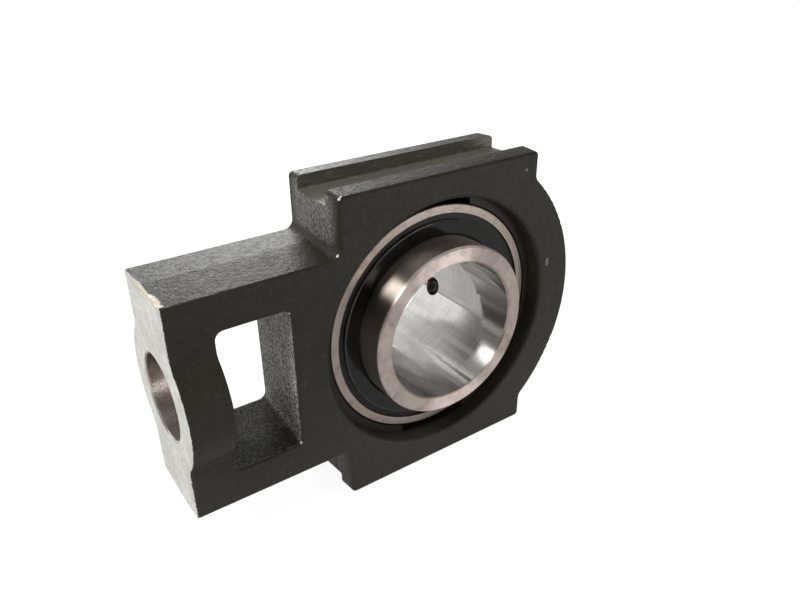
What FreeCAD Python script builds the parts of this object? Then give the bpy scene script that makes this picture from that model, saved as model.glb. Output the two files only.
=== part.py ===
"""Take-up bearing unit: a cast sliding housing with a self-aligning ball bearing insert.

Millimetres. The origin is the centre of the bearing. X runs along the housing, with the screw
end at -X, Y is the shaft axis, with the set screws at +Y, and Z is up. The guide grooves are on
the top and the bottom, and the unit stands on its lower guide flanges.
"""
import FreeCAD, Part
import Sketcher
import math
import os
import re
from FreeCAD import Placement, Rotation, Vector

SIZES = (
    # Cast housing
    ("end_distance", 140.0, "bearing centre to the machined end face"),
    ("arm_height", 111.0, "arm height at the parting plane"),
    ("flange_length", 121.0, "guide flange length at the parting plane"),
    ("rear_wall", 26.0, "metal between the insert and the rounded rear end"),
    ("body_thickness", 47.0, "distance between the two cast faces"),
    ("draft_angle", 4.0, "casting draft from the parting plane, degrees"),
    ("end_wall", 20.0, "wall between the end face and the window"),
    ("window_wall", 20.4, "metal between the insert and the window at the front cast face"),
    ("window_height", 73.2, "window height"),
    ("window_draft", 3.3, "draft of the window wall next to the bearing, degrees"),
    ("window_corner", 4.0, "window corner radius"),
    ("boss_radius", 35.0, "half-round boss around the screw hole"),
    ("boss_blend", 5.0, "blend between the boss and the cast face"),
    ("boss_overrun", 3.0, "boss past the end wall, before the window is cut"),
    ("screw_hole_radius", 20.5, "hole for the take-up screw"),
    ("screw_hole_chamfer", 0.8, "chamfer at the mouth of the screw hole"),
    ("machining_stock", 3.0, "metal milled off the cast end"),
    ("neck_radius", 3.0, "blend between the arm and the flange ends"),
    ("flange_corner", 4.0, "rounded flange corners"),
    ("rear_blend", 4.0, "blend between the flanges and the rounded rear end"),
    ("cast_edge", 1.5, "rounded edges around both cast faces"),
    ("window_edge", 1.2, "rounded edges around the window"),
    ("guide_width", 26.0, "guide groove width"),
    ("guide_wall", 10.5, "metal between the insert and the floor of a guide groove"),
    ("guide_depth", 8.0, "depth of the guide grooves at the parting plane"),
    ("guide_root", 1.0, "root radius of the guide grooves"),
    ("seat_margin", 0.25, "spherical seat past each side of the outer ring"),
    ("seat_clearance", 0.03, "radial clearance of the insert in its seat"),
    ("mouth_gap", 2.4, "insert to the wall of the opening beside the seat"),
    ("lip_radius", 2.0, "rounded lip of the bearing opening"),
    ("slot_room", 13.0, "width of a loading slot past that of the outer ring"),
    ("slot_gap", 2.3, "insert to the round floor of a loading slot"),
    ("lube_gap", 0.27, "side of the balls to the middle of the grease groove"),
    ("lube_width", 4.0, "width of the grease groove in the seat"),
    ("lube_depth", 1.2, "depth of the grease groove in the seat"),
    # Grease nipple in the rounded rear end
    ("nipple_thread_radius", 4.85, "nipple thread"),
    ("nipple_thread_length", 7.0, "length of the nipple thread"),
    ("nipple_passage_radius", 1.5, "drilled passage from the nipple to the grease groove"),
    ("nipple_spot_radius", 8.0, "spot face under the nipple"),
    ("nipple_spot_depth", 1.5, "depth of the spot face below the parting line"),
    ("nipple_hex", 11.0, "across flats of the nipple"),
    ("nipple_hex_height", 5.0, "height of the nipple hexagon"),
    ("nipple_height", 13.0, "nipple height above the spot face"),
    ("nipple_head_radius", 3.25, "nipple head"),
    ("nipple_neck_radius", 2.5, "nipple neck"),
    ("nipple_bore_radius", 1.7, "ball chamber of the nipple"),
    ("nipple_inlet_radius", 1.0, "inlet of the nipple"),
    ("nipple_inlet_length", 1.4, "length of the inlet above the ball chamber"),
    ("nipple_ball_radius", 1.5, "check ball of the nipple"),
    ("nipple_ball_gap", 0.02, "check ball to the edge of the inlet"),
    # Bearing rings
    ("insert_radius", 65.0, "spherical outside of the outer ring"),
    ("ring_side", 6.02, "side of the balls to the side of the outer ring"),
    ("ring_corner", 0.8, "corner chamfer of the outer ring"),
    ("outer_ratio", 0.3055, "outer ring wall over the section, from bore to outside"),
    ("seal_land_step", 1.6, "outer ring bore outside the seal groove, over the shoulders"),
    ("seal_land_width", 1.5, "width of that land"),
    ("seal_groove_depth", 2.4, "depth of the seal groove below the shoulders"),
    ("seal_groove_width", 1.9, "width of the seal groove"),
    ("lube_hole_radius", 1.5, "two grease holes in the outer ring"),
    ("bore_radius", 37.5, "bore of the inner ring"),
    ("inner_ratio", 0.3145, "inner ring wall over the section"),
    ("inner_width", 77.8, "width of the inner ring"),
    ("narrow_side", 31.0, "bearing centre to the face without set screws"),
    ("bore_chamfer", 0.8, "chamfer of the bore"),
    ("inner_chamfer", 1.0, "outer chamfer of the inner ring"),
    # Balls and cage
    ("ball_ratio", 0.3175, "ball radius over the section"),
    ("race_ratio", 1.04, "raceway radius over ball radius"),
    ("race_gap", 0.02, "radial clearance between a ball and each raceway"),
    ("cage_sheet", 1.2, "sheet thickness of the pressed cage"),
    ("cage_pocket_gap", 0.15, "clearance of a ball in its pocket"),
    ("cage_inner_gap", 1.75, "cage to the inner ring"),
    ("cage_outer_gap", 2.0, "cage to the outer ring shoulders"),
    ("rivet_radius", 1.4, "rivet shank"),
    ("rivet_head_radius", 2.4, "rivet head"),
    ("rivet_head_height", 0.9, "rivet head height"),
    # Seals and flingers
    ("seal_step", 1.0, "raised outer band of the seal, over the outer ring shoulders"),
    ("seal_step_height", 0.4, "height of that band over the groove side"),
    ("seal_lip_gap", 0.05, "seal lip to the inner ring"),
    ("seal_lip_drop", 0.9, "how far the lip leans towards the balls"),
    ("flinger_gap", 0.4, "flinger disc to the seal"),
    ("flinger_sheet", 1.0, "sheet thickness of the flinger"),
    ("flinger_inset", 2.0, "outside of the flinger, inside the outer ring shoulders"),
    ("flinger_bevel", 0.6, "rounded outer edge of the flinger"),
    ("flinger_bend", 1.3, "outer bend radius of the flinger collar"),
    ("flinger_collar", 3.1, "length of the flinger collar"),
    ("collar_gap", 0.1, "flinger collar to the seal"),
    # Set screws
    ("screw_radius", 5.5, "set screw thread, mean radius"),
    ("screw_hole_gap", 0.05, "set screw in its tapped hole"),
    ("screw_length", 13.0, "set screw length"),
    ("screw_recess", 0.9, "set screw point below the bore surface"),
    ("screw_hex", 6.0, "socket across flats"),
    ("screw_hex_depth", 6.0, "socket depth"),
    ("screw_chamfer", 0.9, "chamfer of the set screw"),
    ("screw_cup_radius", 3.4, "rim of the cup point"),
    ("screw_setback", 13.5, "set screw axis from the wide end of the inner ring"),
    ("screw_angle", -16.5, "first set screw from +X towards +Z, degrees"),
    ("screw_angle_step", 120.0, "angle between the two set screws, degrees"),
)
BALL_COUNT = 11
SCREW_COUNT = 2
LUBE_HOLE_COUNT = 2

WORD = re.compile(r"\b(" + "|".join(name for name, _, _ in SIZES) + r")\b")

# Worked-out sizes, as expressions in the names above
HALF = "(body_thickness / 2)"
SECTION = "(insert_radius - bore_radius)"
BALL_RADIUS = f"(ball_ratio * {SECTION})"
PITCH_RADIUS = "((insert_radius + bore_radius) / 2)"
INNER_RADIUS = f"(bore_radius + inner_ratio * {SECTION})"
SHOULDER = f"(insert_radius - outer_ratio * {SECTION})"
RING_HALF = f"({BALL_RADIUS} + ring_side)"
RING_EDGE = f"({RING_HALF} - ring_corner)"
GUIDE_FLOOR = "(insert_radius + guide_wall)"
FOOT = f"({GUIDE_FLOOR} + guide_depth)"
REAR_RADIUS = "(insert_radius + rear_wall)"
MOUTH_RADIUS = "(insert_radius + mouth_gap)"
SEAT_HALF = f"({RING_HALF} + seat_margin)"
SEAT_RADIUS = "(insert_radius + seat_clearance)"
SEAT_EDGE = f"sqrt({SEAT_RADIUS}^2 - {SEAT_HALF}^2)"
LIP_START = f"({HALF} - lip_radius)"
LIP_WALL = f"({MOUTH_RADIUS} + ({LIP_START} - {SEAT_HALF}) * tan(draft_angle))"
LUBE_PLACE = f"({BALL_RADIUS} + lube_gap)"
LUBE_NEAR = f"({LUBE_PLACE} - lube_width / 2)"
LUBE_FAR = f"({LUBE_PLACE} + lube_width / 2)"
NIPPLE_SEAT = f"({REAR_RADIUS} - nipple_spot_depth)"
NIPPLE_EDGE = "(nipple_height - nipple_inlet_length)"
NIPPLE_BALL = (f"({NIPPLE_EDGE} - nipple_ball_gap"
               " - sqrt(nipple_ball_radius^2 - nipple_inlet_radius^2))")
GROOVE_OUT = f"({RING_HALF} - seal_land_width)"
GROOVE_IN = f"({GROOVE_OUT} - seal_groove_width)"
RACE_RADIUS = f"({BALL_RADIUS} * race_ratio)"
OUTER_RACE = f"({PITCH_RADIUS} + {BALL_RADIUS} + race_gap - {RACE_RADIUS})"
INNER_RACE = f"({PITCH_RADIUS} - {BALL_RADIUS} - race_gap + {RACE_RADIUS})"
OUTER_RACE_HALF = f"sqrt({RACE_RADIUS}^2 - ({SHOULDER} - {OUTER_RACE})^2)"
INNER_RACE_HALF = f"sqrt({RACE_RADIUS}^2 - ({INNER_RACE} - {INNER_RADIUS})^2)"
WIDE_SIDE = "(inner_width - narrow_side)"
POCKET_RADIUS = f"({BALL_RADIUS} + cage_pocket_gap)"
CAGE_SHELL = f"({POCKET_RADIUS} + cage_sheet)"
CAGE_INNER = f"({INNER_RADIUS} + cage_inner_gap)"
CAGE_OUTER = f"({SHOULDER} - cage_outer_gap)"
SEAL_LAND = f"({SHOULDER} + seal_land_step)"
SEAL_GROOVE = f"({SHOULDER} + seal_groove_depth)"
SEAL_STEP = f"({SHOULDER} + seal_step)"
SEAL_FACE = f"({GROOVE_OUT} + seal_step_height)"
FLINGER_IN = f"({SEAL_FACE} + flinger_gap)"
FLINGER_OUT = f"({FLINGER_IN} + flinger_sheet)"
COLLAR_RADIUS = f"({INNER_RADIUS} + flinger_sheet)"
FLINGER_RADIUS = f"({SHOULDER} - flinger_inset)"
SCREW_PLACE = f"({WIDE_SIDE} - screw_setback)"

doc = FreeCAD.newDocument("take_up_bearing_unit")
sheet = doc.addObject("Spreadsheet::Sheet", "Sizes")
for row, (name, size, note) in enumerate(SIZES, start=1):
    sheet.set(f"A{row}", name)
    sheet.set(f"B{row}", str(size))
    sheet.set(f"C{row}", note)
    sheet.setAlias(f"B{row}", name)
doc.recompute()

parts = []


def linked(text):
    """The same expression with each size read from the sheet."""
    return WORD.sub(r"Sizes.\1", text)


def value(text):
    """The present value of an expression."""
    return float(sheet.evalExpression(linked(text)))


def bind(item, **expressions):
    """Tie properties of an object to expressions in the sizes."""
    for name, text in expressions.items():
        item.setExpression(name, linked(text))


def new_body(name):
    body = doc.addObject("PartDesign::Body", name)
    body.Label = name
    parts.append(body)
    return body


def origin_plane(body, role):
    return next(item for item in body.Origin.OriginFeatures if item.Role == role)


def arc_between(start, end, radius, centre_side):
    """Arc shorter than a half turn from start to end, its centre left or right of the way."""
    half_way = (end - start) * 0.5
    rise = math.sqrt(max(radius**2 - half_way.Length**2, 0.0))
    left = Vector(-half_way.y, half_way.x, 0).normalize()
    centre = start + half_way + left * (rise if centre_side == "left" else -rise)
    circle = Part.Circle(centre, Vector(0, 0, 1), radius)
    first, last = (start, end) if centre_side == "left" else (end, start)
    return Part.ArcOfCircle(circle, circle.parameter(first), circle.parameter(last))


def outline(body, name, role, points, arcs=None, offset=None):
    """Closed sketch on an origin plane of the body.

    points holds pairs of expressions. arcs gives the radius and the side of the centre for each
    edge that is an arc, and edge n runs from point n to the next one. offset moves the sketch
    along its plane's normal.
    """
    arcs = arcs or {}
    sketch = body.newObject("Sketcher::SketchObject", name)
    sketch.AttachmentSupport = [(origin_plane(body, role), "")]
    sketch.MapMode = "FlatFace"
    if offset:
        sketch.setExpression("AttachmentOffset.Base.z", linked(offset))
    places = [Vector(value(across), value(along), 0) for across, along in points]
    count = len(points)
    ends = []
    for edge in range(count):
        start, end = places[edge], places[(edge + 1) % count]
        radius, side = arcs.get(edge, (None, "left"))
        if radius:
            sketch.addGeometry(arc_between(start, end, value(radius), side))
        else:
            sketch.addGeometry(Part.LineSegment(start, end))
        ends.append((1, 2) if side == "left" else (2, 1))
    for edge in range(count):
        before = (edge - 1) % count
        first = ends[edge][0]
        sketch.addConstraint(Sketcher.Constraint("Coincident", before, ends[before][1], edge, first))
        for letter, text, axis in zip("XY", points[edge], (-2, -1)):
            if text == "0":
                sketch.addConstraint(Sketcher.Constraint("PointOnObject", edge, first, axis))
            else:
                rule = Sketcher.Constraint("Distance" + letter, -1, 1, edge, first, value(text))
                index = sketch.addConstraint(rule)
                sketch.setExpression(f"Constraints[{index}]", linked(text))
        if edge in arcs:
            rule = Sketcher.Constraint("Radius", edge, value(arcs[edge][0]))
            index = sketch.addConstraint(rule)
            sketch.setExpression(f"Constraints[{index}]", linked(arcs[edge][0]))
    return sketch


def mirrored_outline(points, arcs):
    """Outline closed by its own mirror image in the second coordinate."""
    other = [(across, f"-({along})") for across, along in reversed(points)]
    last_edge = 2 * len(points) - 2
    both = dict(arcs)
    for edge, arc in arcs.items():
        both[last_edge - edge] = arc
    return points + other, both


def rounded_box(left, right, low, high, radius):
    """Rectangle with rounded corners, anticlockwise from the low left corner."""
    points = [(f"{left} + {radius}", low), (f"{right} - {radius}", low),
              (right, f"{low} + {radius}"), (right, f"{high} - {radius}"),
              (f"{right} - {radius}", high), (f"{left} + {radius}", high),
              (left, f"{high} - {radius}"), (left, f"{low} + {radius}")]
    return points, {edge: (radius, "left") for edge in (1, 3, 5, 7)}


def revolve(body, name, points, arcs=None, axis="V_Axis", cut=False):
    """Full turn of a profile in the XY plane about the Y axis, or the X axis with H_Axis."""
    sketch = outline(body, name + "_profile", "XY_Plane", points, arcs)
    kind = "PartDesign::Groove" if cut else "PartDesign::Revolution"
    feature = body.newObject(kind, name)
    feature.Profile = sketch
    feature.ReferenceAxis = (sketch, [axis])
    feature.Angle = 360
    return feature


def extrude(body, name, sketch, length, cut=False, both_ways=False, taper=None):
    """Pad or pocket of a sketch, one way along its normal or the same length both ways."""
    feature = body.newObject("PartDesign::Pocket" if cut else "PartDesign::Pad", name)
    feature.Profile = sketch
    if both_ways:
        feature.SideType = "Two sides"
        bind(feature, Length2=length)
    bind(feature, Length=length)
    if taper:
        bind(feature, TaperAngle=taper)
    if taper and both_ways:
        bind(feature, TaperAngle2=taper)
    return feature


def cut_box(body, name, corner, size):
    box = body.newObject("PartDesign::SubtractiveBox", name)
    bind(box, Length=size[0], Width=size[1], Height=size[2])
    for letter, text in zip("xyz", corner):
        box.setExpression(f"Placement.Base.{letter}", linked(text))
    return box


def cut_cylinder(body, name, radius, height, placement):
    cylinder = body.newObject("PartDesign::SubtractiveCylinder", name)
    bind(cylinder, Radius=radius, Height=height)
    cylinder.Placement = placement
    return cylinder


def edges_where(feature, test):
    """Names of the edges of which every end and the middle pass the test."""
    doc.recompute()
    names = []
    for number, edge in enumerate(feature.Shape.Edges, start=1):
        middle = edge.valueAt((edge.FirstParameter + edge.LastParameter) / 2)
        if all(test(point) for point in [middle] + [vertex.Point for vertex in edge.Vertexes]):
            names.append(f"Edge{number}")
    return names


def round_edges(body, name, feature, names, radius):
    fillet = body.newObject("PartDesign::Fillet", name)
    fillet.Base = (feature, names)
    bind(fillet, Radius=radius)
    return fillet


def turned(placement, angle):
    """The placement turned about the shaft axis, from +X towards +Z."""
    return Placement(Vector(), Rotation(Vector(0, 1, 0), -angle)).multiply(placement)


def raw_casting(body):
    """Arm, flanges and rounded rear end, drafted from the parting plane, with a milled end."""
    flange = "(flange_length / 2)"
    arm = "(arm_height / 2)"
    blend_x = f"({flange} + rear_blend)"
    blend_z = f"sqrt(({REAR_RADIUS} + rear_blend)^2 - {blend_x}^2)"
    share = f"{REAR_RADIUS} / ({REAR_RADIUS} + rear_blend)"
    points = [("-(end_distance + machining_stock)", f"-{arm}"),
              (f"-({flange} + neck_radius)", f"-{arm}"),
              (f"-{flange}", f"-({arm} + neck_radius)"),
              (f"-{flange}", f"-({FOOT} - flange_corner)"),
              (f"-({flange} - flange_corner)", f"-{FOOT}"),
              (f"{flange} - flange_corner", f"-{FOOT}"),
              (flange, f"-({FOOT} - flange_corner)"),
              (flange, f"-{blend_z}"),
              (f"{blend_x} * {share}", f"-{blend_z} * {share}")]
    arcs = {1: ("neck_radius", "right"), 3: ("flange_corner", "left"),
            5: ("flange_corner", "left"), 7: ("rear_blend", "right"),
            8: (REAR_RADIUS, "left")}
    sketch = outline(body, "casting_outline", "XZ_Plane", *mirrored_outline(points, arcs))
    extrude(body, "casting", sketch, HALF, both_ways=True, taper="-draft_angle")
    milled = cut_box(body, "milled_end",
                     ("-(end_distance + 2 * machining_stock)", "-body_thickness", "-arm_height"),
                     ("2 * machining_stock", "2 * body_thickness", "2 * arm_height"))
    half = value(HALF)
    rims = edges_where(milled, lambda point: abs(abs(point.y) - half) < 0.001)
    return round_edges(body, "cast_edges", milled, rims, "cast_edge")


def end_boss(body):
    """Half-round boss on both faces of the end wall, blended into the cast faces."""
    centre_y = f"({HALF} + boss_blend)"
    centre_z = f"sqrt((boss_radius + boss_blend)^2 - {centre_y}^2)"
    share = "boss_radius / (boss_radius + boss_blend)"
    points = [(f"-{HALF}", f"-{centre_z}"), (HALF, f"-{centre_z}"),
              (f"{centre_y} * {share}", f"-{centre_z} * {share}"),
              (f"{centre_y} * {share}", f"{centre_z} * {share}"),
              (HALF, centre_z), (f"-{HALF}", centre_z),
              (f"-{centre_y} * {share}", f"{centre_z} * {share}"),
              (f"-{centre_y} * {share}", f"-{centre_z} * {share}")]
    arcs = {1: ("boss_blend", "right"), 2: ("boss_radius", "left"), 3: ("boss_blend", "right"),
            5: ("boss_blend", "right"), 6: ("boss_radius", "left"), 7: ("boss_blend", "right")}
    sketch = outline(body, "boss_section", "YZ_Plane", points, arcs, offset="-end_distance")
    return extrude(body, "end_boss", sketch, "end_wall + boss_overrun")


def take_up_window(body):
    """Window for the nut and the end of the take-up screw, its inner wall drafted backwards."""
    left = "-(end_distance - end_wall)"
    reach = "(boss_radius + boss_blend)"
    low, high = "-window_height / 2", "window_height / 2"

    def right_at(place):
        return f"(({place} + {HALF}) * tan(window_draft) - insert_radius - window_wall)"

    outlines = []
    for name, place in (("window_front", f"-{reach}"), ("window_back", reach)):
        points, arcs = rounded_box(left, right_at(place), low, high, "window_corner")
        outlines.append(outline(body, name, "XZ_Plane", points, arcs, offset=f"-({place})"))
    window = body.newObject("PartDesign::SubtractiveLoft", "window")
    window.Profile = outlines[0]
    window.Sections = outlines[1:]
    window.Ruled = True
    left_limit = value(left) - 0.1
    right_limit = value(right_at(HALF)) + 0.1
    top_limit = value(high) + 0.1
    outside = value(HALF) - 0.001

    def on_rim(point):
        along = left_limit < point.x < right_limit
        return along and abs(point.z) < top_limit and abs(point.y) > outside

    return round_edges(body, "window_edges", window, edges_where(window, on_rim), "window_edge")


def screw_hole(body):
    """Bored hole for the take-up screw through the end wall."""
    outer = "-(end_distance + 1)"
    inner = "-(end_distance - end_wall - 3)"
    points = [(outer, "0"), (inner, "0"), (inner, "screw_hole_radius"),
              ("-(end_distance - screw_hole_chamfer)", "screw_hole_radius"),
              (outer, "screw_hole_radius + screw_hole_chamfer + 1")]
    return revolve(body, "screw_hole", points, axis="H_Axis", cut=True)


def bearing_seat(body):
    """Spherical seat with its grease groove, the wider openings beside it and their lips."""
    lip = f"({LIP_WALL} + lip_radius)"
    beyond = f"({HALF} + 1)"

    def seat_at(place):
        return f"sqrt({SEAT_RADIUS}^2 - {place}^2)"

    points = [("0", f"-{beyond}"), (lip, f"-{beyond}"), (lip, f"-{HALF}"),
              (LIP_WALL, f"-{LIP_START}"), (MOUTH_RADIUS, f"-{SEAT_HALF}"),
              (SEAT_EDGE, f"-{SEAT_HALF}"), (seat_at(LUBE_NEAR), LUBE_NEAR),
              (f"{SEAT_RADIUS} + lube_depth", LUBE_NEAR),
              (f"{SEAT_RADIUS} + lube_depth", LUBE_FAR),
              (seat_at(LUBE_FAR), LUBE_FAR), (SEAT_EDGE, SEAT_HALF), (MOUTH_RADIUS, SEAT_HALF),
              (LIP_WALL, LIP_START), (lip, HALF), (lip, beyond), ("0", beyond)]
    arcs = {2: ("lip_radius", "right"), 5: (SEAT_RADIUS, "left"), 9: (SEAT_RADIUS, "left"),
            12: ("lip_radius", "right")}
    revolve(body, "bearing_opening", points, arcs, cut=True)
    side = f"({RING_HALF} + slot_room / 2)"
    floor = "(insert_radius + slot_gap)"
    end = f"sqrt({floor}^2 - {side}^2)"
    corners = [(f"-{side}", f"-{end}"), (side, f"-{end}"), (side, end), (f"-{side}", end)]
    floors = {0: (floor, "left"), 2: (floor, "left")}
    sketch = outline(body, "slot_section", "XZ_Plane", corners, floors, offset=beyond)
    return extrude(body, "loading_slots", sketch, f"{beyond} + 1", cut=True)


def guide_grooves(body):
    """Milled grooves that ride on the guide rails, one on the top and one on the bottom."""
    side = "(guide_width / 2)"
    above = f"({FOOT} + 2 * guide_depth)"
    points = [(f"-{side}", above), (f"-{side}", f"{GUIDE_FLOOR} + guide_root"),
              (f"-({side} - guide_root)", GUIDE_FLOOR), (f"{side} - guide_root", GUIDE_FLOOR),
              (side, f"{GUIDE_FLOOR} + guide_root"), (side, above)]
    below = [(across, f"-({along})") for across, along in reversed(points)]
    arcs = {1: ("guide_root", "left"), 3: ("guide_root", "left")}
    for name, places in (("upper_groove", points), ("lower_groove", below)):
        sketch = outline(body, name + "_section", "YZ_Plane", places, arcs)
        extrude(body, name, sketch, "flange_length", cut=True, both_ways=True)


def nipple_hole(body):
    """Spot face, tapped hole and passage from the rounded rear end to the grease groove."""
    towards_rear = Rotation(Vector(0, 0, 1), Vector(1, 0, 0))
    place = value(LUBE_PLACE)
    seat = value(NIPPLE_SEAT)
    thread_start = seat - value("nipple_thread_length") - 1
    cut_cylinder(body, "nipple_spot", "nipple_spot_radius", "2 * nipple_spot_depth",
                 Placement(Vector(seat, place, 0), towards_rear))
    cut_cylinder(body, "nipple_thread", "nipple_thread_radius", "nipple_thread_length + 1",
                 Placement(Vector(thread_start, place, 0), towards_rear))
    cut_cylinder(body, "nipple_passage", "nipple_passage_radius",
                 f"{NIPPLE_SEAT} - insert_radius",
                 Placement(Vector(value("insert_radius"), place, 0), towards_rear))


def housing():
    body = new_body("housing")
    raw_casting(body)
    end_boss(body)
    take_up_window(body)
    screw_hole(body)
    bearing_seat(body)
    guide_grooves(body)
    nipple_hole(body)


def grease_nipple():
    """Straight nipple: thread, hexagon, neck, head and the drilled ball chamber."""
    body = new_body("grease_nipple")
    side = "(nipple_hex / sqrt(3))"
    corners = [(f"{side} * cos({60 * turn})", f"{side} * sin({60 * turn})") for turn in range(6)]
    corners = [("0" if "cos(90)" in across else across, "0" if turn % 3 == 0 else along)
               for turn, (across, along) in enumerate(corners)]
    hexagon = outline(body, "nipple_hexagon", "XZ_Plane", corners)
    extrude(body, "nipple_hexagon_pad", hexagon, "nipple_hex_height").Reversed = True
    points = [("0", "-nipple_thread_length"),
              ("nipple_thread_radius - 0.8", "-nipple_thread_length"),
              ("nipple_thread_radius", "-(nipple_thread_length - 0.8)"),
              ("nipple_thread_radius", "1"), ("nipple_hex / 2 - 1.5", "nipple_hex_height"),
              ("nipple_neck_radius", "nipple_hex_height + 1.5"),
              ("nipple_neck_radius", "nipple_height - 4"),
              ("nipple_head_radius", "nipple_height - 2.8"),
              ("nipple_head_radius", "nipple_height - 2"),
              ("nipple_inlet_radius + 0.8", "nipple_height"), ("0", "nipple_height")]
    revolve(body, "nipple_stem", points)
    bore = [("0", "-(nipple_thread_length + 1)"),
            ("nipple_bore_radius", "-(nipple_thread_length + 1)"),
            ("nipple_bore_radius", NIPPLE_EDGE), ("nipple_inlet_radius", NIPPLE_EDGE),
            ("nipple_inlet_radius", "nipple_height + 1"), ("0", "nipple_height + 1")]
    revolve(body, "nipple_bore", bore, cut=True)
    stand = Vector(value(NIPPLE_SEAT), value(LUBE_PLACE), 0)
    body.Placement = Placement(stand, Rotation(Vector(0, 1, 0), Vector(1, 0, 0)))


def ball(name, radius, centre):
    """One ball; centre holds expressions."""
    sphere = doc.addObject("Part::Sphere", name)
    sphere.Label = name
    bind(sphere, Radius=radius)
    for letter, text in zip("xyz", centre):
        sphere.setExpression(f"Placement.Base.{letter}", linked(text))
    parts.append(sphere)


def outer_ring():
    """Ring with a spherical outside, one deep raceway and two seal grooves."""
    body = new_body("outer_ring")
    points = [(SHOULDER, f"-{OUTER_RACE_HALF}"), (SHOULDER, f"-{GROOVE_IN}"),
              (SEAL_GROOVE, f"-{GROOVE_IN}"), (SEAL_GROOVE, f"-{GROOVE_OUT}"),
              (SEAL_LAND, f"-{GROOVE_OUT}"), (SEAL_LAND, f"-{RING_HALF}"),
              (f"sqrt(insert_radius^2 - {RING_EDGE}^2) - ring_corner", f"-{RING_HALF}"),
              (f"sqrt(insert_radius^2 - {RING_EDGE}^2)", f"-{RING_EDGE}")]
    arcs = {7: ("insert_radius", "left")}
    points, arcs = mirrored_outline(points, arcs)
    arcs[len(points) - 1] = (RACE_RADIUS, "right")
    revolve(body, "ring", points, arcs)
    for number in range(LUBE_HOLE_COUNT):
        hole = Placement(Vector(value(PITCH_RADIUS), value(LUBE_PLACE), 0),
                         Rotation(Vector(0, 0, 1), Vector(1, 0, 0)))
        cut_cylinder(body, f"lube_hole_{number + 1}", "lube_hole_radius", "insert_radius",
                     turned(hole, 90 + 360 / LUBE_HOLE_COUNT * number))


def screw_placement(number):
    """Axis of a set screw, pointing outwards from the bore surface."""
    angle = value("screw_angle") + number * value("screw_angle_step")
    base = Placement(Vector(value("bore_radius"), value(SCREW_PLACE), 0),
                     Rotation(Vector(0, 0, 1), Vector(1, 0, 0)))
    return turned(base, angle)


def inner_ring():
    """Extended inner ring with one deep raceway and two tapped holes in its wide side."""
    body = new_body("inner_ring")
    points = [("bore_radius + bore_chamfer", "-narrow_side"),
              (f"{INNER_RADIUS} - inner_chamfer", "-narrow_side"),
              (INNER_RADIUS, "-(narrow_side - inner_chamfer)"),
              (INNER_RADIUS, f"-{INNER_RACE_HALF}"), (INNER_RADIUS, INNER_RACE_HALF),
              (INNER_RADIUS, f"{WIDE_SIDE} - inner_chamfer"),
              (f"{INNER_RADIUS} - inner_chamfer", WIDE_SIDE),
              ("bore_radius + bore_chamfer", WIDE_SIDE),
              ("bore_radius", f"{WIDE_SIDE} - bore_chamfer"),
              ("bore_radius", "-(narrow_side - bore_chamfer)")]
    revolve(body, "ring_turned", points, {3: (RACE_RADIUS, "right")})
    for number in range(SCREW_COUNT):
        start = Placement(Vector(0, 0, -value("bore_radius") / 4), Rotation())
        cut_cylinder(body, f"tapped_hole_{number + 1}", "screw_radius + screw_hole_gap",
                     INNER_RADIUS, screw_placement(number).multiply(start))


def cage_half(name, flip):
    """Pressed cage half: flat bridges with a round pocket for each ball."""
    body = new_body(name)
    points = [(CAGE_INNER, "0"), (CAGE_OUTER, "0"), (CAGE_OUTER, "cage_sheet"),
              (CAGE_INNER, "cage_sheet")]
    revolve(body, name + "_bridges", points)
    shell = body.newObject("PartDesign::AdditiveSphere", name + "_shell")
    bind(shell, Radius=CAGE_SHELL)
    shell.Angle1 = 0
    repeat_around(body, name + "_shells", shell)
    pocket = body.newObject("PartDesign::SubtractiveSphere", name + "_pocket")
    bind(pocket, Radius=POCKET_RADIUS)
    for sphere in (shell, pocket):
        sphere.setExpression("Placement.Base.x", linked(PITCH_RADIUS))
        sphere.Placement.Rotation = Rotation(Vector(1, 0, 0), -90)
    repeat_around(body, name + "_pockets", pocket)
    above = f"({BALL_RADIUS} * 2)"
    for side, near, far in (("inside", "bore_radius / 2", CAGE_INNER),
                            ("outside", CAGE_OUTER, "insert_radius")):
        trim = [(near, "-1"), (far, "-1"), (far, above), (near, above)]
        revolve(body, f"{name}_trim_{side}", trim, cut=True)
    bridge = Rotation(Vector(0, 1, 0), -180 / BALL_COUNT)
    centre = bridge.multVec(Vector(value(PITCH_RADIUS), -1, 0))
    hole = cut_cylinder(body, name + "_rivet_hole", "rivet_radius", "cage_sheet + 2",
                        Placement(centre, Rotation(Vector(1, 0, 0), -90)))
    repeat_around(body, name + "_rivet_holes", hole)
    if flip:
        body.Placement = Placement(Vector(), Rotation(Vector(1, 0, 0), 180))


def repeat_around(body, name, feature):
    """One copy of the feature for each ball, about the shaft axis."""
    pattern = body.newObject("PartDesign::PolarPattern", name)
    pattern.Originals = [feature]
    pattern.Axis = (origin_plane(body, "Y_Axis"), [""])
    pattern.Angle = 360
    pattern.Occurrences = BALL_COUNT
    body.Tip = pattern
    return pattern


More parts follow.
